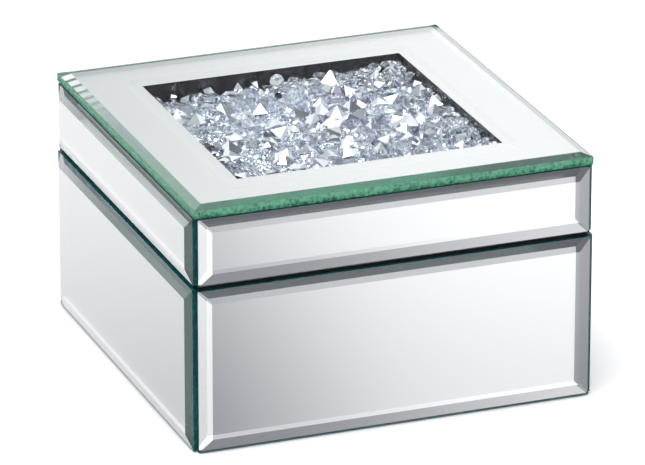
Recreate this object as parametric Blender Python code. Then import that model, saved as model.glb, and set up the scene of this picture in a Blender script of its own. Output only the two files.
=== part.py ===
"""Mirrored trinket box with a hinged lid.

Two carcasses of black-painted fibreboard carry bevelled mirror panels on all four sides. The lid's top is
one bevelled glass plate, silvered except for a square window over a well of glass crystals. Two stop hinges
join the lid to the base at the back. The origin is the centre of the underside, the front faces -Y, and the
lid opens about a line along X behind the back panels.
"""

import math
import random

import bmesh
import bpy
from mathutils import Vector

MM = 0.001

# Driving sizes of the whole box.
WIDTH = 150 * MM  # across the outer faces of opposite side panels, in X and in Y
HEIGHT = 90 * MM
SPLIT = 60.5 * MM  # height of the joint between base and lid
WINDOW = 98 * MM  # side of the clear square in the lid's top

# Sheet and board thicknesses.
TOP_GLASS = 4 * MM
PANEL_GLASS = 3 * MM
BOARD = 7 * MM
FLOOR_BOARD = 5 * MM
THIN_BOARD = 3 * MM
VELVET_CARD = 1.5 * MM
VELVET_PAD = 2 * MM
FELT = 1 * MM
FOIL = 0.5 * MM
GLUE = 0.3 * MM  # the gap that glue fills between two pieces that meet

# The ground bevel round the outer face of a glass panel.
BEVEL_WIDTH = 6.5 * MM
BEVEL_DROP = 1.4 * MM
TOP_BEVEL_WIDTH = 5 * MM
TOP_BEVEL_DROP = 1.1 * MM

PANEL_LIFT = 0.6 * MM  # glass above the surface that the felt stands on
PANEL_GAP = 0.8 * MM  # from the split to the nearest edge of a side panel
LID_INSET = 0.4 * MM  # lid's side panels inside the base's, on each side
TOP_INSET = 2 * MM  # top plate inside the outer faces of the base's side panels
FRONT_INSET = 2.7 * MM  # ends of the front and back panels inside the side panels' outer faces

CARCASS = WIDTH / 2 - PANEL_GLASS - GLUE  # centre to the outer face of a base wall
LID_CARCASS = CARCASS - LID_INSET
INSIDE = CARCASS - BOARD  # centre to the inner face of a carcass wall
LINED = INSIDE - GLUE  # centre to the outer face of what fits inside the walls
LINING_FACE = LINED - VELVET_CARD

# Heights in the base, from the table upwards.
FLOOR_BOTTOM = FELT + GLUE
FLOOR_TOP = FLOOR_BOTTOM + FLOOR_BOARD
PAD_BOTTOM = FLOOR_TOP + GLUE
PAD_TOP = PAD_BOTTOM + VELVET_PAD
BASE_WALL_TOP = SPLIT - GLUE / 2
LINING_LIP = 2 * MM  # lining card below the rim of its wall

# Heights in the lid, from the top plate downwards.
PLATE_BOTTOM = HEIGHT - TOP_GLASS
LID_WALL_TOP = PLATE_BOTTOM - GLUE
LID_WALL_BOTTOM = SPLIT + GLUE / 2
WELL_DEPTH = 12.3 * MM
WELL_BOTTOM = LID_WALL_TOP - WELL_DEPTH
BED_BOTTOM = WELL_BOTTOM + FOIL + GLUE
TRAY_TOP = WELL_BOTTOM - GLUE
TRAY_BOTTOM = TRAY_TOP - THIN_BOARD
LID_PAD_TOP = TRAY_BOTTOM - GLUE
LID_PAD_BOTTOM = LID_PAD_TOP - VELVET_PAD
WELL_HALF = WINDOW / 2  # centre to the foil on the well's wall

# The crystals, as one bed with a faceted top.
BED_GAP = 0.3 * MM
BED_FLOOR = 7.6 * MM  # height of the bed's lowest hollow
BED_PEAK = 11.2 * MM
BED_CELLS = 14
BED_JITTER = 0.3  # sideways shift of a peak, as a share of a cell

# Stop hinges.
HINGE_X = 40 * MM  # centre of each hinge to the middle of the box
HINGE_LENGTH = 24 * MM
KNUCKLE_GAP = 0.3 * MM
KNUCKLE_RADIUS = 1.5 * MM
LEAF = 0.6 * MM
LEAF_GAP = 0.1 * MM  # split to the face of each leaf
LEAF_SETBACK = 0.7 * MM  # leaf's inner edge to the inner face of its wall
AXIS_Y = WIDTH / 2 + 2 * MM
AXIS_Z = SPLIT
PIN_RADIUS = 0.75 * MM
PIN_CLEARANCE = 0.05 * MM
PIN_HEAD_RADIUS = 1.15 * MM
PIN_HEAD = 0.5 * MM
MORTISE_GAP = 0.3 * MM
STOP_REACH = 4.2 * MM  # axis to the tip of the base leaf's stop flange
LUG_REACH = 4 * MM  # axis to the tip of the lid leaf's stop lugs
LUG_HEIGHT = 0.7 * MM  # axis to the underside of a lug, with the lid shut
STOP_OFFSET = 0.1 * MM  # axis to the face that the lugs meet

# Countersunk hinge screws.
SCREW_X = 7 * MM  # from the middle of a hinge
SCREW_Y = INSIDE + BOARD / 2
SCREW_LENGTH = 6 * MM
SCREW_RADIUS = 0.8 * MM
SCREW_HEAD_RADIUS = 1.5 * MM
SCREW_HEAD = 0.5 * MM
SCREW_SLOT = 0.35 * MM
SCREW_SLOT_DEPTH = 0.3 * MM
SCREW_CLEARANCE = 0.15 * MM
PILOT_CLEARANCE = 0.25 * MM

ROUND = 24  # sides of a turned piece
SIDES = {"front": 0, "right": 90, "back": 180, "left": 270}  # degrees about +Z from the front


def material(name, colour, roughness, metallic=0.0):
    """A plain Principled material."""
    made = bpy.data.materials.new(name)
    made.use_nodes = True
    shader = made.node_tree.nodes["Principled BSDF"]
    shader.inputs["Base Color"].default_value = (*colour, 1)
    shader.inputs["Roughness"].default_value = roughness
    shader.inputs["Metallic"].default_value = metallic
    return made


def empty(name, place):
    """A point that pieces hang from."""
    made = bpy.data.objects.new(name, None)
    made.location = place
    bpy.context.collection.objects.link(made)
    return made


def piece(name, shape, finish, parent, place, turn=(0, 0, 0)):
    """An object with a bmesh's shape, at a place given in the box's own frame."""
    mesh = bpy.data.meshes.new(name)
    shape.to_mesh(mesh)
    shape.free()
    mesh.materials.append(finish)
    made = bpy.data.objects.new(name, mesh)
    made.parent = parent
    made.location = Vector(place) - parent.location
    made.rotation_euler = turn
    bpy.context.collection.objects.link(made)
    return made


def block(size):
    """A cuboid centred on its origin."""
    shape = bmesh.new()
    bmesh.ops.create_cube(shape, size=1)
    bmesh.ops.scale(shape, verts=shape.verts, vec=size)
    return shape


def block_between(low, high):
    """A cuboid from its lowest corner to its highest, as (shape, centre)."""
    low, high = Vector(low), Vector(high)
    return block(high - low), (low + high) / 2


def turned(profile, sides=ROUND):
    """A solid of revolution about Z. The profile runs upwards as (radius, height) pairs, off the axis."""
    shape = bmesh.new()
    rings = [
        [
            shape.verts.new((r * math.cos(a), r * math.sin(a), z))
            for a in (2 * math.pi * k / sides for k in range(sides))
        ]
        for r, z in profile
    ]
    for lower, upper in zip(rings, rings[1:]):
        for k in range(sides):
            n = (k + 1) % sides
            shape.faces.new((lower[k], lower[n], upper[n], upper[k]))
    shape.faces.new(rings[0][::-1])
    shape.faces.new(rings[-1])
    return shape


def change(made, other, operation):
    """Adds a Boolean of one object with another, which becomes a hidden guide."""
    modifier = made.modifiers.new(operation.lower(), "BOOLEAN")
    modifier.operation = operation
    modifier.solver = "EXACT"
    modifier.object = other
    other.hide_render = True
    other.display_type = "WIRE"


def guide_block(name, low, high, parent):
    shape, centre = block_between(low, high)
    return piece(name, shape, finishes["fibreboard"], parent, centre)


def guide_rod(name, radius, length, parent, place, turn):
    shape = turned([(radius, -length / 2), (radius, length / 2)])
    return piece(name, shape, finishes["steel"], parent, place, turn)


def glass_plate(width, height, thickness, bevel, drop):
    """A glass sheet with its outer face (+Z) ground to a bevel all round. Its back face is at Z = 0."""
    shape = block((width, height, thickness - drop))
    bmesh.ops.translate(shape, verts=shape.verts, vec=(0, 0, (thickness - drop) / 2))
    shape.faces.ensure_lookup_table()
    outer = max(shape.faces, key=lambda face: face.calc_center_median().z)
    bmesh.ops.inset_region(shape, faces=[outer], thickness=bevel, depth=drop)
    return shape


def slab(length, height, thickness):
    """A cuboid with its back face at Z = 0."""
    shape = block((length, height, thickness))
    bmesh.ops.translate(shape, verts=shape.verts, vec=(0, 0, thickness / 2))
    return shape


def stand(name, shape, finish, parent, side, back_face, bottom, height):
    """Stands a sheet on one side of the box: its local +Z faces out and its local +Y points up."""
    angle = math.radians(SIDES[side])
    out = Vector((math.sin(angle), -math.cos(angle), 0))
    place = out * back_face + Vector((0, 0, bottom + height / 2))
    return piece(name, shape, finish, parent, place, (math.pi / 2, 0, angle))


def faces_front(side):
    return side in ("front", "back")


def soften(made, radius):
    """Rounds a soft piece's edges."""
    modifier = made.modifiers.new("round_edges", "BEVEL")
    modifier.width = radius
    modifier.segments = 2
    modifier.limit_method = "ANGLE"


# --- Walls, panels and linings, the same way in the base and in the lid ------------------------------------


def walls(body, parent, outer, bottom, top):
    """Four fibreboard walls. The front and back walls run the full width, over the ends of the others."""
    made = {}
    for side in SIDES:
        length = 2 * outer if faces_front(side) else 2 * (INSIDE - GLUE)
        made[side] = stand(
            f"{body}_{side}_board",
            slab(length, top - bottom, outer - INSIDE),
            finishes["fibreboard"],
            parent,
            side,
            INSIDE,
            bottom,
            top - bottom,
        )
    return made


def mirrors(body, parent, outer, bottom, top):
    """Four bevelled mirror panels. The front and back ones stand over the ground edges of the side ones."""
    for side in SIDES:
        length = 2 * (outer + GLUE + PANEL_GLASS - FRONT_INSET) if faces_front(side) else 2 * outer
        stand(
            f"{body}_{side}_mirror",
            glass_plate(length, top - bottom, PANEL_GLASS, BEVEL_WIDTH, BEVEL_DROP),
            finishes["mirror"],
            parent,
            side,
            outer + GLUE,
            bottom,
            top - bottom,
        )


def linings(body, parent, bottom, top):
    """Velvet-covered card on the inner faces of the walls."""
    for side in SIDES:
        length = 2 * LINED if faces_front(side) else 2 * (LINING_FACE - GLUE)
        made = stand(
            f"{body}_{side}_lining",
            slab(length, top - bottom, VELVET_CARD),
            finishes["velvet"],
            parent,
            side,
            LINING_FACE,
            bottom,
            top - bottom,
        )
        soften(made, VELVET_CARD / 3)


def level_sheet(name, half, bottom, top, finish, parent):
    shape, centre = block_between((-half, -half, bottom), (half, half, top))
    return piece(name, shape, finish, parent, centre)


# --- Lid's top: glass plate, crystal well and crystals ------------------------------------------------------


def crystal_bed():
    """The bed's top is a grid of shifted peaks with hollows between them, closed down to a flat underside."""
    dice = random.Random(7)
    half = WELL_HALF - BED_GAP
    cell = 2 * half / BED_CELLS
    shape = bmesh.new()
    steps = 2 * BED_CELLS + 1
    top, under = [], []
    for row in range(steps):
        top.append([])
        under.append([])
        for column in range(steps):
            x = -half + column * cell / 2
            y = -half + row * cell / 2
            under[-1].append(shape.verts.new((x, y, 0)))
            inner = 0 < row < steps - 1 and 0 < column < steps - 1
            peak = row % 2 and column % 2
            if inner:
                x += dice.uniform(-BED_JITTER, BED_JITTER) * cell / 2
                y += dice.uniform(-BED_JITTER, BED_JITTER) * cell / 2
            low, high = (0.8 * BED_PEAK, BED_PEAK) if peak else (BED_FLOOR, 0.7 * BED_PEAK)
            top[-1].append(shape.verts.new((x, y, dice.uniform(low, high))))
    for row in range(steps - 1):
        for column in range(steps - 1):
            for grid, order in ((top, 1), (under, -1)):
                corners = [
                    grid[row][column],
                    grid[row][column + 1],
                    grid[row + 1][column + 1],
                    grid[row + 1][column],
                ]
                shape.faces.new(corners[::order])
    last = steps - 1
    for k in range(last):
        shape.faces.new((under[0][k], under[0][k + 1], top[0][k + 1], top[0][k]))
        shape.faces.new((under[last][k + 1], under[last][k], top[last][k], top[last][k + 1]))
        shape.faces.new((under[k + 1][0], under[k][0], top[k][0], top[k + 1][0]))
        shape.faces.new((under[k][last], under[k + 1][last], top[k + 1][last], top[k][last]))
    bmesh.ops.dissolve_limit(
        shape,
        angle_limit=math.radians(0.1),
        verts=[v for row in under for v in row],
        edges=[e for e in shape.edges if all(v.co.z < MM for v in e.verts)],
    )
    bmesh.ops.triangulate(shape, faces=shape.faces)
    return shape


def lid_top(parent):
    plate_side = WIDTH - 2 * TOP_INSET
    plate = glass_plate(plate_side, plate_side, TOP_GLASS, TOP_BEVEL_WIDTH, TOP_BEVEL_DROP)
    piece("lid_top_glass", plate, finishes["mirror"], parent, (0, 0, PLATE_BOTTOM))
    level_sheet("lid_tray_board", LINED, TRAY_BOTTOM, TRAY_TOP, finishes["fibreboard"], parent)
    rail_face = WELL_HALF + FOIL + GLUE
    for side in SIDES:
        across = faces_front(side)
        stand(
            f"lid_{side}_rail",
            slab(2 * LINED if across else 2 * (rail_face - GLUE), WELL_DEPTH, LINED - rail_face),
            finishes["fibreboard"],
            parent,
            side,
            rail_face,
            WELL_BOTTOM,
            WELL_DEPTH,
        )
        stand(
            f"well_{side}_foil",
            slab(2 * (WELL_HALF + FOIL) if across else 2 * (WELL_HALF - GLUE), WELL_DEPTH, FOIL),
            finishes["foil"],
            parent,
            side,
            WELL_HALF,
            WELL_BOTTOM,
            WELL_DEPTH,
        )
    level_sheet(
        "well_floor_foil", WELL_HALF - GLUE, WELL_BOTTOM, WELL_BOTTOM + FOIL, finishes["foil"], parent
    )
    piece("crystal_bed", crystal_bed(), finishes["crystal"], parent, (0, 0, BED_BOTTOM))


# --- Hinges -------------------------------------------------------------------------------------------------


def knuckle_spans(middle):
    """X ranges of a hinge's knuckles: the middle one is the base leaf's, the outer two are the lid leaf's."""
    third = HINGE_LENGTH / 3
    spans = [(middle + (k - 1.5) * third, middle + (k - 0.5) * third) for k in range(3)]
    return [(low + KNUCKLE_GAP / 2, high - KNUCKLE_GAP / 2) for low, high in spans]


def leaf_z(leaf_of):
    """Z range of a leaf: just under the split in the base, and just over it in the lid."""
    if leaf_of == "base":
        return SPLIT - LEAF_GAP - LEAF, SPLIT - LEAF_GAP
    return SPLIT + LEAF_GAP, SPLIT + LEAF_GAP + LEAF


def leaf(name, leaf_of, middle, parent):
    """One leaf: a plate let into its wall, tongues rolled into knuckles, and the part of the stop it carries."""
    low, high = leaf_z(leaf_of)
    ends = middle - HINGE_LENGTH / 2, middle + HINGE_LENGTH / 2
    plate_end = AXIS_Y - KNUCKLE_RADIUS - KNUCKLE_GAP
    shape, centre = block_between((ends[0], INSIDE + LEAF_SETBACK, low), (ends[1], plate_end, high))
    made = piece(name, shape, finishes["steel"], parent, centre)
    spans = knuckle_spans(middle)
    for k, (start, stop) in enumerate(spans):
        if (k == 1) != (leaf_of == "base"):
            continue
        tongue = (start, plate_end - LEAF, low), (stop, AXIS_Y, high)
        change(made, guide_block(f"{name}_tongue_{k}", *tongue, parent), "UNION")
        place = ((start + stop) / 2, AXIS_Y, AXIS_Z)
        barrel = guide_rod(f"{name}_knuckle_{k}", KNUCKLE_RADIUS, stop - start, parent, place, ALONG_X)
        change(made, barrel, "UNION")
        if leaf_of == "lid":
            lug = (
                (start, AXIS_Y + MM, AXIS_Z + LUG_HEIGHT),
                (stop, AXIS_Y + LUG_REACH, AXIS_Z + LUG_HEIGHT + LEAF),
            )
            change(made, guide_block(f"{name}_lug_{k}", *lug, parent), "UNION")
    if leaf_of == "base":
        face = AXIS_Y - STOP_OFFSET
        start, stop = spans[1]
        web = (start, face - LEAF, AXIS_Z - STOP_REACH), (stop, face, AXIS_Z - MM)
        change(made, guide_block(f"{name}_web", *web, parent), "UNION")
        clear = AXIS_Z - KNUCKLE_RADIUS - KNUCKLE_GAP
        flange = (ends[0], face - LEAF, AXIS_Z - STOP_REACH), (ends[1], face, clear)
        change(made, guide_block(f"{name}_flange", *flange, parent), "UNION")
    place = (middle, AXIS_Y, AXIS_Z)
    bore = guide_rod(f"{name}_bore", PIN_RADIUS + PIN_CLEARANCE, 2 * HINGE_LENGTH, parent, place, ALONG_X)
    change(made, bore, "DIFFERENCE")
    for sign in (-1, 1):
        sink = turned(
            [
                (SCREW_RADIUS + SCREW_CLEARANCE, -2 * MM),
                (SCREW_RADIUS + SCREW_CLEARANCE, -SCREW_HEAD),
                (SCREW_HEAD_RADIUS + SCREW_CLEARANCE, 0),
                (SCREW_HEAD_RADIUS + SCREW_CLEARANCE, MM),
            ]
        )
        place = (middle + sign * SCREW_X, SCREW_Y, high if leaf_of == "base" else low)
        turn = (0, 0, 0) if leaf_of == "base" else UPSIDE_DOWN
        cutter = piece(f"{name}_sink_{sign + 1}", sink, finishes["steel"], parent, place, turn)
        change(made, cutter, "DIFFERENCE")
    return made


def screw(name, leaf_of, place, parent):
    """A countersunk screw with one slot. Its head lies just inside the leaf's open face."""
    shape = turned(
        [
            (0.3 * SCREW_RADIUS, -SCREW_LENGTH),
            (SCREW_RADIUS, -0.8 * SCREW_LENGTH),
            (SCREW_RADIUS, -SCREW_HEAD),
            (SCREW_HEAD_RADIUS, 0),
        ]
    )
    turn = (0, 0, 0) if leaf_of == "base" else UPSIDE_DOWN
    made = piece(name, shape, finishes["steel"], parent, place, turn)
    slot = block((3 * SCREW_HEAD_RADIUS, SCREW_SLOT, 2 * SCREW_SLOT_DEPTH))
    cutter = piece(f"{name}_slot", slot, finishes["steel"], parent, place, (0, 0, math.radians(35)))
    change(made, cutter, "DIFFERENCE")


def let_in(board, name, leaf_of, middle, parent):
    """Cuts the shallow mortise and the two pilot holes for a leaf in its wall."""
    low, high = leaf_z(leaf_of)
    if leaf_of == "base":
        low, high = low - MORTISE_GAP, high + MM
    else:
        low, high = low - MM, high + MORTISE_GAP
    reach = HINGE_LENGTH / 2 + MORTISE_GAP
    mortise = (
        (middle - reach, INSIDE + LEAF_SETBACK - MORTISE_GAP, low),
        (middle + reach, CARCASS + MM, high),
    )
    change(board, guide_block(f"{name}_mortise", *mortise, parent), "DIFFERENCE")
    for sign in (-1, 1):
        place = (middle + sign * SCREW_X, SCREW_Y, SPLIT)
        radius = SCREW_RADIUS + PILOT_CLEARANCE
        rod = guide_rod(f"{name}_pilot_{sign + 1}", radius, 2.4 * SCREW_LENGTH, parent, place, (0, 0, 0))
        change(board, rod, "DIFFERENCE")


def hinge(label, middle, boards, frames):
    for leaf_of in ("base", "lid"):
        parent = frames[leaf_of]
        name = f"{label}_hinge_{leaf_of}_leaf"
        leaf(name, leaf_of, middle, parent)
        let_in(boards[leaf_of]["back"], name, leaf_of, middle, parent)
        low, high = leaf_z(leaf_of)
        for tag, sign in (("outer", math.copysign(1, middle)), ("inner", -math.copysign(1, middle))):
            place = (middle + sign * SCREW_X, SCREW_Y, high if leaf_of == "base" else low)
            screw(f"{label}_hinge_{leaf_of}_{tag}_screw", leaf_of, place, parent)
    end = HINGE_LENGTH / 2 + KNUCKLE_GAP
    pin = turned(
        [
            (PIN_HEAD_RADIUS - PIN_HEAD / 2, -end - PIN_HEAD),
            (PIN_HEAD_RADIUS, -end - PIN_HEAD / 2),
            (PIN_HEAD_RADIUS, -end),
            (PIN_RADIUS, -end),
            (PIN_RADIUS, end),
            (PIN_HEAD_RADIUS, end),
            (PIN_HEAD_RADIUS, end + PIN_HEAD / 2),
            (PIN_HEAD_RADIUS - PIN_HEAD / 2, end + PIN_HEAD),
        ]
    )
    place = (middle, AXIS_Y, AXIS_Z)
    piece(f"{label}_hinge_pin", pin, finishes["steel"], frames["base"], place, ALONG_X)


# --- The box ------------------------------------------------------------------------------------------------

for old in list(bpy.data.objects):
    bpy.data.objects.remove(old)

ALONG_X = (0, math.pi / 2, 0)
UPSIDE_DOWN = (math.pi, 0, 0)

finishes = {
    "mirror": material("silvered_glass", (0.80, 0.83, 0.84), 0.03, 1.0),
    "fibreboard": material("black_painted_fibreboard", (0.02, 0.02, 0.022), 0.6),
    "velvet": material("black_velvet", (0.015, 0.015, 0.018), 0.9),
    "felt": material("black_felt", (0.02, 0.02, 0.02), 0.95),
    "foil": material("gloss_black_foil", (0.02, 0.02, 0.03), 0.15),
    "crystal": material("cut_glass", (0.75, 0.80, 0.84), 0.05),
    "steel": material("nickelled_steel", (0.60, 0.58, 0.55), 0.25, 1.0),
}

frames = {
    "base": empty("base_frame", (0, 0, 0)),
    "lid": empty("lid_frame", (0, AXIS_Y, AXIS_Z)),
}

boards = {
    "base": walls("base", frames["base"], CARCASS, FLOOR_TOP + GLUE, BASE_WALL_TOP),
    "lid": walls("lid", frames["lid"], LID_CARCASS, LID_WALL_BOTTOM, LID_WALL_TOP),
}

level_sheet("base_floor_board", CARCASS, FLOOR_BOTTOM, FLOOR_TOP, finishes["fibreboard"], frames["base"])
level_sheet("base_underside_felt", CARCASS - MM, 0, FELT, finishes["felt"], frames["base"])
soften(level_sheet("base_floor_pad", LINED, PAD_BOTTOM, PAD_TOP, finishes["velvet"], frames["base"]), 0.7 * MM)
linings("base", frames["base"], PAD_TOP + GLUE, BASE_WALL_TOP - LINING_LIP)
mirrors("base", frames["base"], CARCASS, PANEL_LIFT, SPLIT - PANEL_GAP)

mirrors("lid", frames["lid"], LID_CARCASS, SPLIT + PANEL_GAP, PLATE_BOTTOM - 0.4 * MM)
soften(level_sheet("lid_pad", LINED, LID_PAD_BOTTOM, LID_PAD_TOP, finishes["velvet"], frames["lid"]), 0.7 * MM)
linings("lid", frames["lid"], LID_WALL_BOTTOM + 0.5 * MM, LID_PAD_BOTTOM - GLUE)
lid_top(frames["lid"])

hinge("left", -HINGE_X, boards, frames)
hinge("right", HINGE_X, boards, frames)
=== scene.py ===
import math

import bmesh
import bpy
import numpy as np
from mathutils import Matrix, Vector


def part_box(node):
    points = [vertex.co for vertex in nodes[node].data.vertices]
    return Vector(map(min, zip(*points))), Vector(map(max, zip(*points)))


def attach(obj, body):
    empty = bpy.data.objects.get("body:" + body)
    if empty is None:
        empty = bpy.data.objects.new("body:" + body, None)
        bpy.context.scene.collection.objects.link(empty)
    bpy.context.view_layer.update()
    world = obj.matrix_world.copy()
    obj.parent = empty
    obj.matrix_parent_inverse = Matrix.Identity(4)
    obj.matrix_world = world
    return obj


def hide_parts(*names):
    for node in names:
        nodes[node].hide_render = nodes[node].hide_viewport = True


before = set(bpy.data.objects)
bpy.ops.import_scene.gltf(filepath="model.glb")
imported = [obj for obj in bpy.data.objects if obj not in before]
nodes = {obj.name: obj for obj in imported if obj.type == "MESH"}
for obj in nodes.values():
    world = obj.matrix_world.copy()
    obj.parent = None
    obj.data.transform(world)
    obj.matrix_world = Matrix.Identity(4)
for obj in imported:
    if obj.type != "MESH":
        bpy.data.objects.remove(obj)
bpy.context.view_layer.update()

# --- Carcass boards -------------------------------------------------------------------------------------
# Medium-density fibreboard, sawn and glued into two trays, with rails and a tray board for the crystal well.
# Roller-painted matt black: the paint shows a faint orange peel, and sawn fibres roughen it at the edges.


def linear(code):
    """The linear colour of an sRGB hex code: each channel through the sRGB curve."""
    parts = [int(code[i : i + 2], 16) / 255 for i in (1, 3, 5)]
    return (*[p / 12.92 if p <= 0.04045 else ((p + 0.055) / 1.055) ** 2.4 for p in parts], 1)


def set_inputs(tree, shader, inputs):
    """Sets inputs, named in a dictionary or listed in order. Each is a value, a socket, or a node, which is
    linked from its first output."""
    for name, value in inputs.items() if isinstance(inputs, dict) else enumerate(inputs):
        if isinstance(value, bpy.types.Node):
            value = value.outputs[0]
        if isinstance(value, bpy.types.NodeSocket):
            tree.links.new(value, shader.inputs[name])
        else:
            shader.inputs[name].default_value = value


def node(tree, kind, inputs=(), stops=(), **settings):
    """Adds a node with its inputs and settings. Stops are a ramp's (position, hex colour) pairs."""
    made = tree.nodes.new("ShaderNode" + kind)
    for name, value in settings.items():
        setattr(made, name, value)
    for k, (position, code) in enumerate(stops):
        if k > 1:
            made.color_ramp.elements.new(1.0)
        made.color_ramp.elements[k].position = position
        made.color_ramp.elements[k].color = linear(code)
    set_inputs(tree, made, inputs)
    return made


def new_material(name):
    """An empty material and its Principled shader, linked to the output."""
    made = bpy.data.materials.new(name)
    made.use_nodes = True
    return made, made.node_tree, made.node_tree.nodes["Principled BSDF"]


def finish_nodes(names, material):
    """Gives CAD nodes a material in place of their own."""
    for name in names:
        nodes[name].data.materials.clear()
        nodes[name].data.materials.append(material)


ORANGE_PEEL = 1.2e-3  # m, spacing of the roller's bumps
FIBRE = 0.35e-3  # m, length of a raised fibre
WORN_PATCH = 25e-3  # m, width of a duller patch of paint

paint, tree, shader = new_material("roller_painted_fibreboard")
place = node(tree, "TexCoord").outputs["Object"]
peel = node(tree, "TexNoise", {"Vector": place, "Scale": 1 / ORANGE_PEEL, "Detail": 2.0})
fibres = node(tree, "TexVoronoi", {"Vector": place, "Scale": 1 / FIBRE})
wear = node(tree, "TexNoise", {"Vector": place, "Scale": 1 / WORN_PATCH, "Detail": 5.0})
height = node(tree, "Math", [peel, fibres], operation="ADD")
bump = node(tree, "Bump", {"Height": height, "Strength": 0.25, "Distance": 8e-5})
rough = node(tree, "MapRange", {"Value": wear, "To Min": 0.45, "To Max": 0.75})
set_inputs(
    tree,
    shader,
    {
        "Base Color": node(tree, "ValToRGB", [wear], [(0.35, "#0b0b0d"), (0.7, "#17171a")]),
        "Roughness": rough,
        "Normal": bump,
    },
)
finish_nodes([name for name in nodes if name.endswith(("_board", "_rail"))], paint)

# --- Bevelled mirror panels -----------------------------------------------------------------------------
# Clear float glass, ground to a bevel all round and polished, silvered on its flat back and glued on the
# carcass. Light enters by the bevel or the flat, returns from the silver, and is tinted green on long paths
# through the iron in the glass. The sawn edges are only fine-ground, with small chips. Their colour holds
# painted light and shade: painted dark teal on the upright panels, painted pale green on the top plate.

GLASS_IOR = 1.52
GLASS_TINT = "#74ecca"  # what the iron in the glass lets through
TINT_DENSITY = 11.0  # per metre
SILVER_HAZE = 0.08  # roughness of the coat, which melts the many images in a bevel into one
CHIP = 1.1e-3  # m, spacing of the chips along a sawn edge
WHEEL_LINE = 0.5e-3  # m, spacing of the wheel's marks
CUT_TURN = 0.3  # a sawn edge's normal has less than this along the plate's axis
INNER_TURN = -0.03  # m, on a panel's back face the normal times its place along the axis is under this
GLOW_SHARE = 0.45  # how much of a sawn edge is light from within
PANE_GLEAM = 0.012  # least share of light that the window's clear glass mirrors
CLEAR_MARGIN = 4e-3  # m, how far the clear pane reaches past the window on the upper face
PLATE_BACK = float(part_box("lid_top_glass")[0].z)  # m, height of the top plate's silvered face
DARKER_EDGE_BAND = 1.6e-3  # m, height above the plate's back over which its sawn edge is drawn darker, with more dark specks
WINDOW_HALF = float(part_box("well_back_foil")[0].y)  # the foil stands at the window's edge
# Colour ramps of the sawn edges: chips and wheel lines, at a level that is painted shade on the panels and
# painted light on the top plate.
EDGE_RAMP_PAINTED_SHADE = [(0.25, "#020b0b"), (0.36, "#0b3b3c"), (0.46, "#135b5a"), (0.54, "#3cc4a2")]
EDGE_RAMP_PAINTED_LIGHT = [(0.21, "#021813"), (0.28, "#23775a"), (0.36, "#5fb890"), (0.50, "#8fd4ad")]


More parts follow.
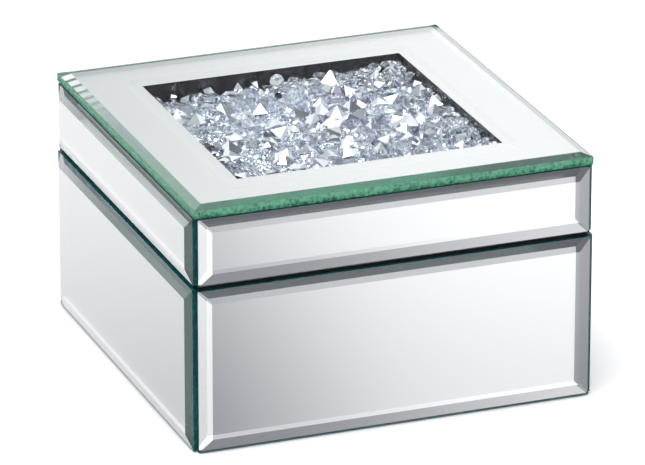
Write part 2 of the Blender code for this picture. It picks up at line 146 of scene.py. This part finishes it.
def mirror_glass(name, axis, sawn, glow, window=None):
    """Glass whose back face is a silver mirror and whose sawn edges are fine-ground and dull. The back is
    where the outward normal along the given axis points to the box's centre, or down, for the level plate.
    The true normal turns to the side it is seen from, so it is turned back on hits from inside. Sawn is the
    colour ramp of an edge, which holds its chips and its painted light and shade, glow is the colour of the
    light it lets in, and a window is the half side of an unsilvered square."""
    made, tree, glass = new_material(name)
    place = node(tree, "TexCoord").outputs["Object"]
    surface = node(tree, "NewGeometry").outputs
    turned = {"vector_type": "NORMAL", "convert_from": "WORLD", "convert_to": "OBJECT"}
    facing = node(tree, "VectorTransform", [surface["True Normal"]], **turned)
    seen = node(tree, "SeparateXYZ", [facing]).outputs[axis]
    inside = node(tree, "MapRange", {"Value": surface["Backfacing"], "To Min": 1.0, "To Max": -1.0})
    along = node(tree, "Math", [seen, inside], operation="MULTIPLY")
    across = node(tree, "SeparateXYZ", [place]).outputs
    if window:
        back = node(tree, "Math", [along, -0.5], operation="LESS_THAN")
        sides = [node(tree, "Math", [across[k]], operation="ABSOLUTE") for k in "XY"]
        reach = node(tree, "Math", sides, operation="MAXIMUM")
        border = node(tree, "Math", [reach, window], operation="GREATER_THAN")
        silvered = node(tree, "Math", [back, border], operation="MULTIPLY")
        span = {"Value": back, "To Min": window + CLEAR_MARGIN, "To Max": window}
        margin = node(tree, "MapRange", span)
        clear = node(tree, "Math", [reach, margin], operation="LESS_THAN")
    else:
        outward = node(tree, "Math", [along, across[axis]], operation="MULTIPLY")
        silvered = node(tree, "Math", [outward, INNER_TURN], operation="LESS_THAN")
    flatness = node(tree, "Math", [along], operation="ABSOLUTE")
    edge = node(tree, "Math", [flatness, CUT_TURN], operation="LESS_THAN")
    plain = {"Roughness": 0.0, "IOR": GLASS_IOR}
    set_inputs(tree, glass, {"Base Color": linear("#ffffff"), **plain, "Transmission Weight": 1.0})
    chips = node(tree, "TexNoise", {"Vector": place, "Scale": 1 / CHIP, "Detail": 5.0, "Roughness": 0.75})
    upright = (1.0, 1.0, 0.12) if axis == "Z" else (1.0, 1.0, 0.5)
    stretched = node(tree, "Mapping", {"Vector": place, "Scale": upright})
    lines = node(tree, "TexNoise", {"Vector": stretched, "Scale": 1 / WHEEL_LINE, "Detail": 2.0})
    bump = node(tree, "Bump", {"Height": chips, "Strength": 0.4, "Distance": 1e-4})
    shade = node(tree, "Math", [lines, -0.25, chips], operation="MULTIPLY_ADD")
    if window:
        # The plate's sawn edge is drawn darker towards its silvered back face.
        band = {"Value": across["Z"], "From Min": PLATE_BACK, "From Max": PLATE_BACK + DARKER_EDGE_BAND}
        low = node(tree, "MapRange", {**band, "To Min": -0.11, "To Max": 0.02})
        shade = node(tree, "Math", [shade, low], operation="ADD")
    # The sawn edge's colour: chips and wheel lines in a ramp whose level is painted light and shade.
    edge_chips_and_painted_light = node(tree, "ValToRGB", [shade], sawn)
    dull = {"Base Color": edge_chips_and_painted_light, "Roughness": 0.35, "IOR": GLASS_IOR, "Normal": bump}
    ground = node(tree, "BsdfPrincipled", dull)
    bright = {"Base Color": linear("#faf6f8"), "Metallic": 1.0, "Roughness": SILVER_HAZE}
    silver = node(tree, "BsdfPrincipled", bright)
    lit = node(tree, "BsdfTranslucent", {"Color": linear(glow), "Normal": bump})
    ground = node(tree, "MixShader", [GLOW_SHARE, ground, lit])
    body = node(tree, "MixShader", [edge, glass, ground])
    coat = node(tree, "MixShader", [silvered, body, silver])
    if window:
        gleam = node(tree, "BsdfGlossy", {"Color": linear("#ffffff"), "Roughness": 0.0})
        through = node(tree, "BsdfRefraction", {"Color": linear("#ffffff"), **plain})
        share = node(tree, "Fresnel", {"IOR": GLASS_IOR})
        total = node(tree, "Math", [share, 0.5], operation="GREATER_THAN")
        total = node(tree, "Math", [total, PANE_GLEAM], operation="MAXIMUM")
        pane = node(tree, "MixShader", [total, through, gleam])
        coat = node(tree, "MixShader", [clear, coat, pane])
    tint = node(tree, "VolumeAbsorption", {"Color": linear(GLASS_TINT), "Density": TINT_DENSITY})
    set_inputs(tree, tree.nodes["Material Output"], {"Surface": coat, "Volume": tint})
    return made


# The panels' edges take the ramp of painted shade, and the top plate's edge the ramp of painted light.
finish_nodes(
    [f"{body}_{side}_mirror" for body in ("base", "lid") for side in ("front", "back")],
    mirror_glass("silvered_float_glass_front_back", "Y", EDGE_RAMP_PAINTED_SHADE, "#2a8a94"),
)
finish_nodes(
    [f"{body}_{side}_mirror" for body in ("base", "lid") for side in ("left", "right")],
    mirror_glass("silvered_float_glass_sides", "X", EDGE_RAMP_PAINTED_SHADE, "#2a8a94"),
)
plate = mirror_glass("silvered_float_glass_top", "Z", EDGE_RAMP_PAINTED_LIGHT, "#557a6c", WINDOW_HALF)
finish_nodes(["lid_top_glass"], plate)

# --- Crystal well ---------------------------------------------------------------------------------------
# Gloss black plastic foil glued on the rails round the window. It is thin, so it shows long soft ripples and
# the glue's fine grain, and it mirrors the stones dimly. The floor's foil is silvered and lights the stones.

RIPPLE = 8.333e-3  # m, length of a ripple in a foil
GLUE_GRAIN = 0.4e-3  # m

foil, tree, shader = new_material("gloss_black_plastic_foil")
place = node(tree, "TexCoord").outputs["Object"]
ripple = node(tree, "TexNoise", {"Vector": place, "Scale": 1 / RIPPLE, "Detail": 2.0})
grain = node(tree, "TexNoise", {"Vector": place, "Scale": 1 / GLUE_GRAIN, "Detail": 2.0})
height = node(tree, "Math", [grain, 0.08, ripple], operation="MULTIPLY_ADD")
bump = node(tree, "Bump", {"Height": height, "Strength": 0.3, "Distance": 2e-4})
rough = node(tree, "MapRange", {"Value": ripple, "To Min": 0.16, "To Max": 0.32})
set_inputs(
    tree,
    shader,
    {
        "Base Color": node(tree, "ValToRGB", [ripple], [(0.3, "#16151d"), (0.7, "#2b2836")]),
        "Roughness": rough,
        "IOR": 1.5,
        "Normal": bump,
    },
)
finish_nodes([f"well_{side}_foil" for side in ("front", "back", "left", "right")], foil)

silvered_foil, tree, shader = new_material("silvered_plastic_foil")
place = node(tree, "TexCoord").outputs["Object"]
ripple = node(tree, "TexNoise", {"Vector": place, "Scale": 1 / RIPPLE, "Detail": 2.0})
bump = node(tree, "Bump", {"Height": ripple, "Strength": 0.3, "Distance": 2e-4})
rough = node(tree, "MapRange", {"Value": ripple, "To Min": 0.05, "To Max": 0.2})
set_inputs(
    tree,
    shader,
    {
        "Base Color": node(tree, "ValToRGB", [ripple], [(0.3, "#c6c2d2"), (0.7, "#d0cddb")]),
        "Metallic": 1.0,
        "Roughness": rough,
        "Normal": bump,
    },
)
finish_nodes(["well_floor_foil"], silvered_foil)

# --- Crystals -------------------------------------------------------------------------------------------
# A few hundred loose machine-cut glass stones poured in the well: clear round brilliants, and pointed stones
# and chips with a silver foil back. They are packed as balls smaller than their girdles, so neighbours cut
# into each other a little, and the top layer more, where it is held down under the glass.

STONE_SEED = 11
STONE_COUNT = 700  # dropped; one that would stand over the heap's top is left out
SPOTS = 60  # places tried for each stone; it goes to the lowest
STONE_RADII = 2.6e-3, 4.6e-3  # m, smallest and largest
TOP_RADII = 3.4e-3, 5.2e-3  # m, the larger ones that lie on top
TOP_SPACING = 7e-3  # m, between the rows of that layer
WALL_SHARE = 0.72  # those by the wall are smaller
TIP_SHARE = 0.6  # height of a stone's tip above its centre, as a share of its radius
TOP_DEPTH = 1.2e-3  # m, kept free for the last layer
BACK_DROP, LEFT_DROP = 0.3e-3, 2.4e-3  # m, how far the heap's top falls to the back, and more at the left
PACKING = 0.66  # a stone's resting radius as a share of its girdle's
WALL_GAP = 0.25e-3  # m, kept free over the floor
FOILED_SHARE = 0.42  # of the stones
FOILED_SIZE = 0.94  # share of the radius dealt, because their points stand taller
FOILED_LEAN, CLEAR_LEAN = 0.34, 0.55  # rad, mean tilt
STONE_CLOUD = 1.111e-3  # m, patches of the polish on a clear stone
FOIL_CLOUD = 1.429e-3  # m, patches of haze on a foil back

bed_low, bed_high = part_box("crystal_bed")


def ring(radius, height, count, turn=0.0):
    """Points evenly round a circle at a height."""
    angle = turn + np.arange(count) * 2 * np.pi / count
    return np.stack([radius * np.cos(angle), radius * np.sin(angle), np.full(count, height)], 1)


def hull(points):
    """The convex hull of some points, as (vertices, list of faces), with flat facets kept whole."""
    shape = bmesh.new()
    for point in points:
        shape.verts.new(point)
    found = bmesh.ops.convex_hull(shape, input=shape.verts)
    loose = [e for e in found["geom_interior"] + found["geom_unused"] if isinstance(e, bmesh.types.BMVert)]
    bmesh.ops.delete(shape, geom=loose, context="VERTS")
    bmesh.ops.dissolve_limit(shape, angle_limit=math.radians(1), verts=shape.verts, edges=shape.edges)
    bmesh.ops.recalc_face_normals(shape, faces=shape.faces)
    shape.verts.index_update()
    corners = np.array([v.co for v in shape.verts])
    faces = [[v.index for v in face.verts] for face in shape.faces]
    shape.free()
    return corners, faces


def brilliant():
    """A round brilliant of unit radius: octagonal table, sixteen-sided girdle and a pointed pavilion."""
    table = ring(0.56, 0.34, 8, np.pi / 8)
    crown = ring(0.82, 0.19, 8)
    girdle = ring(1.0, 0.0, 16, np.pi / 16)
    pavilion = ring(0.42, -0.52, 8)
    return hull(np.concatenate([table, crown, girdle, pavilion, [(0, 0, -0.84)]]))


def pointed(sides):
    """A pointed stone of unit radius: a low many-sided pyramid over a shallow crown and a flat table."""
    girdle = ring(1.0, 0.0, sides)
    table = ring(0.62, -0.34, sides)
    return hull(np.concatenate([girdle, table, [(0, 0, 0.86)]]))


def chip(dice):
    """A broken chip of unit radius: the hull of scattered points on a flattened ball."""
    points = dice.normal(size=(10, 3))
    points /= np.linalg.norm(points, axis=1)[:, None]
    return hull(points * (1.0, 0.8, 0.6))


def ceiling(spots):
    """Height of the heap's top: close under the glass at the front, lower to the back, lowest back left."""
    back = 0.5 + spots[:, 1] / (2 * bed_high.x)
    left = 0.5 - spots[:, 0] / (2 * bed_high.x)
    return bed_high.z - back * (BACK_DROP + LEFT_DROP * left)


def rest_heights(spots, radius, centres, radii):
    """A sphere dropped at (x, y) rests on the floor or on the highest of the spheres it would touch: their
    centre height plus the root of the squared sum of radii less the squared sideways distance."""
    rest = radius * PACKING
    heights = np.full(len(spots), bed_low.z + WALL_GAP + rest)
    if not len(centres):
        return heights
    sums = (rest + radii * PACKING)[None, :] ** 2
    gaps = ((spots[:, None, :] - centres[None, :, :2]) ** 2).sum(2)
    over = centres[None, :, 2] + np.sqrt(np.clip(sums - gaps, 0, None))
    return np.maximum(heights, np.where(gaps < sums, over, 0).max(1))


def settle(dice):
    """Drops stones one by one, each to the lowest of the spots tried for it, as long as it stays under the
    heap's top. Then a last layer of larger ones is laid evenly over them, on shifted rows, and pressed down
    into them as far as the heap's top asks."""
    centres, radii = np.zeros((0, 3)), np.zeros(0)
    for radius in dice.uniform(*STONE_RADII, STONE_COUNT):
        reach = bed_high.x - radius
        spots = np.clip(dice.uniform(-1.1, 1.1, (SPOTS, 2)), -1, 1) * reach
        heights = rest_heights(spots, radius, centres, radii)
        best = heights.argmin()
        if heights[best] + radius * TIP_SHARE < ceiling(spots)[best] - TOP_DEPTH:
            centres = np.vstack([centres, [*spots[best], heights[best]]])
            radii = np.append(radii, radius)
    rows = int(2 * bed_high.x / TOP_SPACING)
    for row in range(rows + 1):
        for column in range(rows + 1):
            at_wall = row in (0, rows) or column in (0, rows)
            radius = dice.uniform(*TOP_RADII) * (WALL_SHARE if at_wall else 1.0)
            reach = bed_high.x - radius
            spot = np.array([(column + 0.5 * (row % 2), row)]) * 2 / rows - 1
            spot = np.clip(spot * bed_high.x + dice.normal(0, 0.18 * TOP_SPACING, (1, 2)), -reach, reach)
            height = rest_heights(spot, radius, centres, radii)
            height = np.minimum(height, ceiling(spot) - radius * TIP_SHARE)
            centres = np.vstack([centres, [*spot[0], height[0]]])
            radii = np.append(radii, radius)
    return centres, radii


def random_turns(dice, count, lean):
    """Rotation matrices: a random tilt of about the given lean, in radians, under a random heading."""
    heading, side = dice.uniform(0, 2 * np.pi, (2, count))
    tilt = np.abs(dice.normal(0, lean, count))
    axis = np.stack([np.cos(side), np.sin(side), np.zeros(count)], 1)
    cross = np.zeros((count, 3, 3))
    cross[:, 0, 2], cross[:, 1, 2] = axis[:, 1], -axis[:, 0]
    cross[:, 2, 0], cross[:, 2, 1] = -axis[:, 1], axis[:, 0]
    leant = np.eye(3) + np.sin(tilt)[:, None, None] * cross
    leant += (1 - np.cos(tilt))[:, None, None] * (cross @ cross)
    spun = np.zeros((count, 3, 3))
    spun[:, 0, 0] = spun[:, 1, 1] = np.cos(heading)
    spun[:, 1, 0], spun[:, 0, 1] = np.sin(heading), -np.sin(heading)
    spun[:, 2, 2] = 1
    return leant @ spun


def stones(name, shapes, centres, radii, turns, material, dice):
    """One mesh of many stones: shape k's corners turned, scaled and moved for each stone it is dealt to.
    The face attribute 'stone' is a random number for each stone."""
    dealt = dice.integers(0, len(shapes), len(centres))
    corners, faces, shades = [], [], []
    start = 0
    for k, (points, polygons) in enumerate(shapes):
        mine = np.flatnonzero(dealt == k)
        placed = np.einsum("nij,pj->npi", turns[mine], points) * radii[mine, None, None]
        corners.append((placed + centres[mine, None]).reshape(-1, 3))
        for n in range(len(mine)):
            faces += [[start + n * len(points) + i for i in polygon] for polygon in polygons]
        shades.append(np.repeat(dice.uniform(size=len(mine)), len(polygons)))
        start += len(mine) * len(points)
    mesh = bpy.data.meshes.new(name)
    mesh.from_pydata(np.concatenate(corners), [], faces)
    mesh.attributes.new("stone", "FLOAT", "FACE").data.foreach_set("value", np.concatenate(shades))
    mesh.materials.append(material)
    made = bpy.data.objects.new(name, mesh)
    bpy.context.collection.objects.link(made)
    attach(made, "lid")
    return made


clear, tree, shader = new_material("machine_cut_crystal_glass")
each = node(tree, "Attribute", attribute_name="stone").outputs["Fac"]
place = node(tree, "TexCoord").outputs["Object"]
polish = node(tree, "TexNoise", {"Vector": place, "Scale": 1 / STONE_CLOUD, "Detail": 3.0})
rough = node(tree, "MapRange", {"Value": polish, "From Min": 0.45, "To Max": 0.02})
set_inputs(
    tree,
    shader,
    {
        "Base Color": node(tree, "ValToRGB", [each], [(0.0, "#eceff3"), (0.5, "#f8f9fb"), (1.0, "#e2e6eb")]),
        "Roughness": rough,
        "IOR": 1.6,
        "Transmission Weight": 1.0,
    },
)

silvered, tree, shader = new_material("silver_foiled_cut_glass")
each = node(tree, "Attribute", attribute_name="stone").outputs["Fac"]
place = node(tree, "TexCoord").outputs["Object"]
haze = node(tree, "TexNoise", {"Vector": place, "Scale": 1 / FOIL_CLOUD, "Detail": 3.0})
rough = node(tree, "MapRange", {"Value": haze, "To Min": 0.05, "To Max": 0.2})
set_inputs(
    tree,
    shader,
    {
        "Base Color": node(tree, "ValToRGB", [each], [(0.0, "#c6c2d2"), (0.5, "#f4f5f8"), (1.0, "#e2e3ec")]),
        "Metallic": 1.0,
        "Roughness": rough,
    },
)

dice = np.random.default_rng(STONE_SEED)
centres, radii = settle(dice)
foiled = dice.uniform(size=len(radii)) < FOILED_SHARE
turns = np.where(
    foiled[:, None, None],
    random_turns(dice, len(radii), FOILED_LEAN),
    random_turns(dice, len(radii), CLEAR_LEAN),
)
clear_stones = stones(
    "clear_brilliants", [brilliant()], centres[~foiled], radii[~foiled], turns[~foiled], clear, dice
)
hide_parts("crystal_bed")
pointed_shapes = [pointed(4), pointed(4), pointed(5), pointed(6), chip(dice), chip(dice)]
foiled_radii = radii[foiled] * FOILED_SIZE
stones(
    "foiled_pointed_stones", pointed_shapes, centres[foiled], foiled_radii, turns[foiled], silvered, dice
)

# --- Velvet lining --------------------------------------------------------------------------------------
# Cotton velvet drawn over thin foam for the two pads and over card for the eight wall linings, and glued
# behind. The pile is brushed in patches, and the edges roll over. Where the pile leans away it looks lighter,
# which is painted into its colour as a painted sheen.

PILE = 0.28e-3  # m, spacing of the tufts that show
STRAY_HAIR = 0.667e-3  # m
PAINTED_SHEEN_PATCH = 14e-3  # m, width of a patch of painted sheen
FOAM_DOME, CARD_DOME = 0.25, 0.08  # share of a piece's thickness that is a slow dome
LINING_ROLL, FELT_ROLL = 60, 120  # the higher, the tighter an edge rolls over

velvet, tree, shader = new_material("brushed_black_cotton_velvet")
place = node(tree, "TexCoord").outputs["Object"]
brushed = {"Vector": place, "Scale": 1 / PAINTED_SHEEN_PATCH, "Detail": 3.0, "Distortion": 0.8}
# Lighter patches in the colour are a painted sheen, where the brushed pile leans away.
painted_sheen_patches = node(tree, "TexNoise", brushed)
tufts = node(tree, "TexVoronoi", {"Vector": place, "Scale": 1 / PILE})
stray = node(tree, "TexNoise", {"Vector": place, "Scale": 1 / STRAY_HAIR, "Detail": 3.0})
height = node(tree, "Math", [tufts, stray], operation="ADD")
bump = node(tree, "Bump", {"Height": height, "Strength": 0.7, "Distance": 1.2e-4})
set_inputs(
    tree,
    shader,
    {
        "Base Color": node(
            tree, "ValToRGB", [painted_sheen_patches], [(0.3, "#0d0d10"), (0.52, "#17171c"), (0.7, "#24242b")]
        ),
        "Roughness": 0.95,
        "Specular IOR Level": 0.15,
        "Sheen Weight": 0.7,
        "Sheen Roughness": 0.35,
        "Sheen Tint": linear("#8f8f9c"),
        "Normal": bump,
    },
)


def pillow(name, box_node, towards, crown, roll, material, steps=44):
    """A flat-backed pad in a CAD node's box. Over s and t from -1 to 1, its thickness is a rounded edge, the
    product of (1 - |s|^roll)^0.5 and the same in t, of which a share called crown is a slow dome, the product
    of (1 - s*s) and (1 - t*t). Rows crowd towards the edges as sines. Top and back share their rim."""
    low, high = (np.array(corner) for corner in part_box(box_node))
    size, middle = high - low, (high + low) / 2
    thin = int(size.argmin())
    wide = [k for k in range(3) if k != thin]
    line = np.sin(np.linspace(-np.pi / 2, np.pi / 2, steps + 1))
    s, t = np.meshgrid(line, line, indexing="ij")
    edge = np.sqrt(np.clip(1 - np.abs(s) ** roll, 0, 1) * np.clip(1 - np.abs(t) ** roll, 0, 1))
    dome = (1 - s * s) * (1 - t * t)
    thickness = size[thin] * edge * (1 - crown + crown * dome)
    back = middle[thin] - towards * size[thin] / 2
    inner = np.zeros((2, steps + 1, steps + 1, 3))
    for k, values in zip(wide, (s, t)):
        inner[..., k] = middle[k] + values * size[k] / 2
    inner[0, ..., thin] = back + towards * thickness
    inner[1, ..., thin] = back
    count = (steps + 1) ** 2
    index = np.arange(2 * count).reshape(2, steps + 1, steps + 1)
    rim = np.ones((steps + 1, steps + 1), bool)
    rim[1:-1, 1:-1] = False
    index[1][rim] = index[0][rim]
    quads = [
        np.stack([grid[:-1, :-1], grid[1:, :-1], grid[1:, 1:], grid[:-1, 1:]], -1).reshape(-1, 4)
        for grid in (index[0], index[1][:, ::-1])
    ]
    quads = np.concatenate(quads)
    used, numbers = np.unique(quads, return_inverse=True)
    mesh = bpy.data.meshes.new(name)
    mesh.from_pydata(inner.reshape(-1, 3)[used], [], numbers.reshape(-1, 4).tolist())
    mesh.materials.append(material)
    shape = bmesh.new()
    shape.from_mesh(mesh)
    bmesh.ops.recalc_face_normals(shape, faces=shape.faces)
    shape.to_mesh(mesh)
    shape.free()
    mesh.shade_smooth()
    made = bpy.data.objects.new(name, mesh)
    bpy.context.collection.objects.link(made)
    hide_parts(box_node)
    return made


def velvet_piece(name, box_node, body, towards, crown):
    """A pad or a lining that rides on a body, facing the way given along its thin axis."""
    made = pillow(name, box_node, towards, crown, LINING_ROLL, velvet)
    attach(made, body)


velvet_piece("base_velvet_pad", "base_floor_pad", "base", 1, FOAM_DOME)
velvet_piece("lid_velvet_pad", "lid_pad", "lid", -1, FOAM_DOME)
for body in ("base", "lid"):
    for side, towards in (("front", 1), ("back", -1), ("left", 1), ("right", -1)):
        lining = f"{body}_{side}_lining"
        name = f"{body}_{side}_velvet_lining"
        velvet_piece(name, lining, body, towards, CARD_DOME)

# --- Underside felt -------------------------------------------------------------------------------------
# Pressed wool felt, die-cut and glued under the floor board to keep the glass off the table. Its fibres lie
# every way, with a few pale ones among the black.

MATTED_HAIR = 0.833e-3  # m, coarser than real hair, so that it shows
PALE_FLECK = 2.38e-3  # m

felt, tree, shader = new_material("pressed_black_wool_felt")
place = node(tree, "TexCoord").outputs["Object"]
hair = {"Vector": place, "Scale": 1 / MATTED_HAIR, "Detail": 6.0, "Roughness": 0.75}
matted = node(tree, "TexNoise", hair)
pale = {"Vector": place, "Scale": 1 / PALE_FLECK, "Detail": 4.0, "Distortion": 2.0}
flecks = node(tree, "TexNoise", pale)
bump = node(tree, "Bump", {"Height": matted, "Strength": 0.9, "Distance": 1.5e-4})
set_inputs(
    tree,
    shader,
    {
        "Base Color": node(
            tree, "ValToRGB", [flecks], [(0.35, "#111113"), (0.6, "#1d1d20"), (0.8, "#3a3a3e")]
        ),
        "Roughness": 1.0,
        "Specular IOR Level": 0.1,
        "Sheen Weight": 0.3,
        "Sheen Roughness": 0.5,
        "Normal": bump,
    },
)
felt_sheet = pillow("underside_felt_sheet", "base_underside_felt", -1, 0.0, FELT_ROLL, felt)
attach(felt_sheet, "base")

# --- Hinges ---------------------------------------------------------------------------------------------
# Pressed steel leaves rolled round a steel pin, barrel-polished and nickel-plated, with slotted countersunk
# screws. Plating leaves the metal warm grey and bright, with fine scratches along the leaf and dull hollows.

SCRATCH = 0.111e-3  # m, width of a polishing scratch
DULL_PATCH = 2.86e-3  # m

nickel, tree, shader = new_material("nickel_plated_pressed_steel")
place = node(tree, "TexCoord").outputs["Object"]
stretched = node(tree, "Mapping", {"Vector": place, "Scale": (0.06, 1.0, 1.0)})
scratches = node(tree, "TexNoise", {"Vector": stretched, "Scale": 1 / SCRATCH, "Detail": 3.0})
clouds = node(tree, "TexNoise", {"Vector": place, "Scale": 1 / DULL_PATCH, "Detail": 4.0})
bump = node(tree, "Bump", {"Height": scratches, "Strength": 0.1, "Distance": 1e-5})
rough = node(tree, "MapRange", {"Value": clouds, "To Min": 0.22, "To Max": 0.34})
set_inputs(
    tree,
    shader,
    {
        "Base Color": node(tree, "ValToRGB", [clouds], [(0.3, "#c0bcb4"), (0.7, "#d6d2ca")]),
        "Metallic": 1.0,
        "Roughness": rough,
        "Normal": bump,
    },
)
finish_nodes([name for name in nodes if "_hinge_" in name], nickel)

# --- Studio ---------------------------------------------------------------------------------------------
# A pale floor under a white tent with a darker lens side and low skirt, and one large overhead softbox. The
# mirrors show the tent's lower half where the floor would be, as a curved paper sweep gives it.

FLOOR_HALF = 3.0  # m
FLOOR_MOTTLE = 0.167  # m
floor_mesh = bpy.data.meshes.new("studio_floor")
floor_corners = FLOOR_HALF * np.array([(-1, -1, 0), (1, -1, 0), (1, 1, 0), (-1, 1, 0)], float)
floor_mesh.from_pydata(floor_corners, [], [[0, 1, 2, 3]])
floor_paint, tree, shader = new_material("matt_white_studio_floor")
place = node(tree, "TexCoord").outputs["Object"]
mottle = node(tree, "TexNoise", {"Vector": place, "Scale": 1 / FLOOR_MOTTLE, "Detail": 2.0})
set_inputs(
    tree,
    shader,
    {
        "Base Color": node(tree, "ValToRGB", [mottle], [(0.3, "#f4f4f4"), (0.7, "#fafafa")]),
        "Roughness": 0.9,
        "Specular IOR Level": 0.1,
    },
)
floor_mesh.materials.append(floor_paint)
floor = bpy.data.objects.new("studio_floor", floor_mesh)
bpy.context.collection.objects.link(floor)
floor.visible_glossy = False
floor.visible_transmission = False

world = bpy.data.worlds.new("white_tent")
bpy.context.scene.world = world
world.use_nodes = True
tree = world.node_tree

# Elevation is in degrees over the horizon, and heading in degrees to the right of straight ahead of the box.
# Slope is a line that leans across the low front.
direction = node(tree, "SeparateXYZ", [node(tree, "TexCoord").outputs["Generated"]]).outputs
x, y = direction["X"], direction["Y"]
rise = node(tree, "Math", [direction["Z"]], operation="ARCSINE")
elevation = node(tree, "Math", [rise], operation="DEGREES")
ahead = node(tree, "Math", [y, -1.0], operation="MULTIPLY")
bearing = node(tree, "Math", [x, ahead], operation="ARCTAN2")
heading = node(tree, "Math", [bearing], operation="DEGREES")
low_stop = node(tree, "Math", [elevation, -23.5], operation="MAXIMUM")
slope = node(tree, "Math", [low_stop, 0.8, heading], operation="MULTIPLY_ADD")

# Brightness is made of smooth steps: what each runs over, its start and stop there, and its value at each.
steps = {
    "front": (y, 0.2, -0.2, 0.0, 1.0),
    "is_up": (elevation, -1, 1, 0.0, 1.0),
    # Above, at the back: a bright wall, a dimmer ring over it, and the bright top of the tent.
    "wall": (elevation, 3, 9, 0.10, 1.0),
    "wall_right": (x, 0.27, 0.36, 0.74, 1.1),
    "wall_left": (x, 0.12, 0.2, 1.6, 1.0),
    "ring": (elevation, 34, 42, 1.0, 0.45),
    "tent_top": (elevation, 50, 56, 0.0, 1.5),
    # Above, at the front: the darker side that the lens looks in by, and the top again.
    "lens_side": (elevation, 26, 34, 0.8, 0.2),
    "lens_top": (elevation, 48, 56, 0.0, 1.2),
    # Below, at the front: a sweep of paper that brightens to the right, a lit corner at its left, a dark
    # skirt under it, and the far floor up to the horizon.
    "sweep": (slope, -0.2, 5.0, 0.12, 1.25),
    "sweep_cap": (elevation, -23.2, -21.5, 0.92, 1.27),
    "sweep_foot": (elevation, -26, -28.5, 1.0, 0.92),
    "corner": (elevation, -25, -20.5, 0.05, 0.43),
    "corner_edge": (heading, 18.5, 14.5, 0.0, 1.0),
    "corner_far": (heading, 10, 5, 1.15, 0.9),
    "skirt": (heading, 18, 23, 0.1, 0.16),
    "at_skirt": (elevation, -31.5, -35, 0.0, 1.0),
    "horizon": (elevation, -7.4, -6.9, 1.0, 0.7),
    "horizon_right": (heading, 18.8, 21.8, 0.38, 1.35),
    "far_floor": (elevation, -18, -12, 0.0, 1.0),
    # Below, at the back.
    "lower_back": (elevation, -24.2, -20.6, 0.6, 1.03),
}
levels = {
    name: node(tree, "MapRange", step, interpolation_type="SMOOTHSTEP") for name, step in steps.items()
}
for name, operation, first, second in [
    ("wall", "MULTIPLY", "wall", "wall_right"),
    ("wall", "MULTIPLY", "wall", "wall_left"),
    ("wall", "MULTIPLY", "wall", "ring"),
    ("upper", "ADD", "wall", "tent_top"),
    ("lens_side", "ADD", "lens_side", "lens_top"),
    ("sweep", "MINIMUM", "sweep", "sweep_cap"),
    ("sweep", "MULTIPLY", "sweep", "sweep_foot"),
    ("corner", "MULTIPLY", "corner", "corner_edge"),
    ("corner", "MULTIPLY", "corner", "corner_far"),
    ("sweep", "ADD", "sweep", "corner"),
    ("horizon", "MULTIPLY", "horizon", "horizon_right"),
]:
    levels[name] = node(tree, "Math", [levels[first], levels[second]], operation=operation)
# Each of these is the first level where the share is 0, and the second where it is 1.
for name, share, first, second in [
    ("upper", "front", "upper", "lens_side"),
    ("lower_front", "at_skirt", "sweep", "skirt"),
    ("lower_front", "far_floor", "lower_front", "horizon"),
    ("lower", "front", "lower_back", "lower_front"),
    ("tent", "is_up", "lower", "upper"),
]:
    inputs = {0: levels[share], 2: levels[first], 3: levels[second]}
    levels[name] = node(tree, "Mix", inputs, data_type="FLOAT")
tints = [(0.1, "#ecf1ff"), (0.55, "#f4f8ff"), (0.95, "#fdfdff")]
tent_colour = node(tree, "ValToRGB", [levels["tent"]], tints)
set_inputs(tree, tree.nodes["Background"], {"Strength": levels["tent"], "Color": tent_colour})

SOFTBOX_PLACE = (-0.5, -0.5, 1.9)  # m
softbox = bpy.data.lights.new("overhead_softbox", "AREA")
softbox.shape = "RECTANGLE"
softbox.size = 1.4
softbox.size_y = 1.0
softbox.energy = 26.0
softbox_object = bpy.data.objects.new("overhead_softbox", softbox)
softbox_object.location = SOFTBOX_PLACE
softbox_object.rotation_euler = (-Vector(SOFTBOX_PLACE)).to_track_quat("-Z", "Y").to_euler()
bpy.context.collection.objects.link(softbox_object)

lens = bpy.data.cameras.new("product_lens")
lens.sensor_width = 36.0
lens.lens = 328.4
lens.clip_end = 20.0
camera = bpy.data.objects.new("product_camera", lens)
camera.location = (-0.6883, -1.8104, 0.8102)
view_heading, view_drop = math.radians(20.84), math.radians(21.58)
camera.rotation_euler = (math.pi / 2 - view_drop, 0, -view_heading)
bpy.context.collection.objects.link(camera)
bpy.context.scene.camera = camera

scene = bpy.context.scene
scene.view_settings.view_transform = "Standard"
scene.cycles.max_bounces = 96
scene.cycles.transmission_bounces = 96
scene.cycles.glossy_bounces = 64
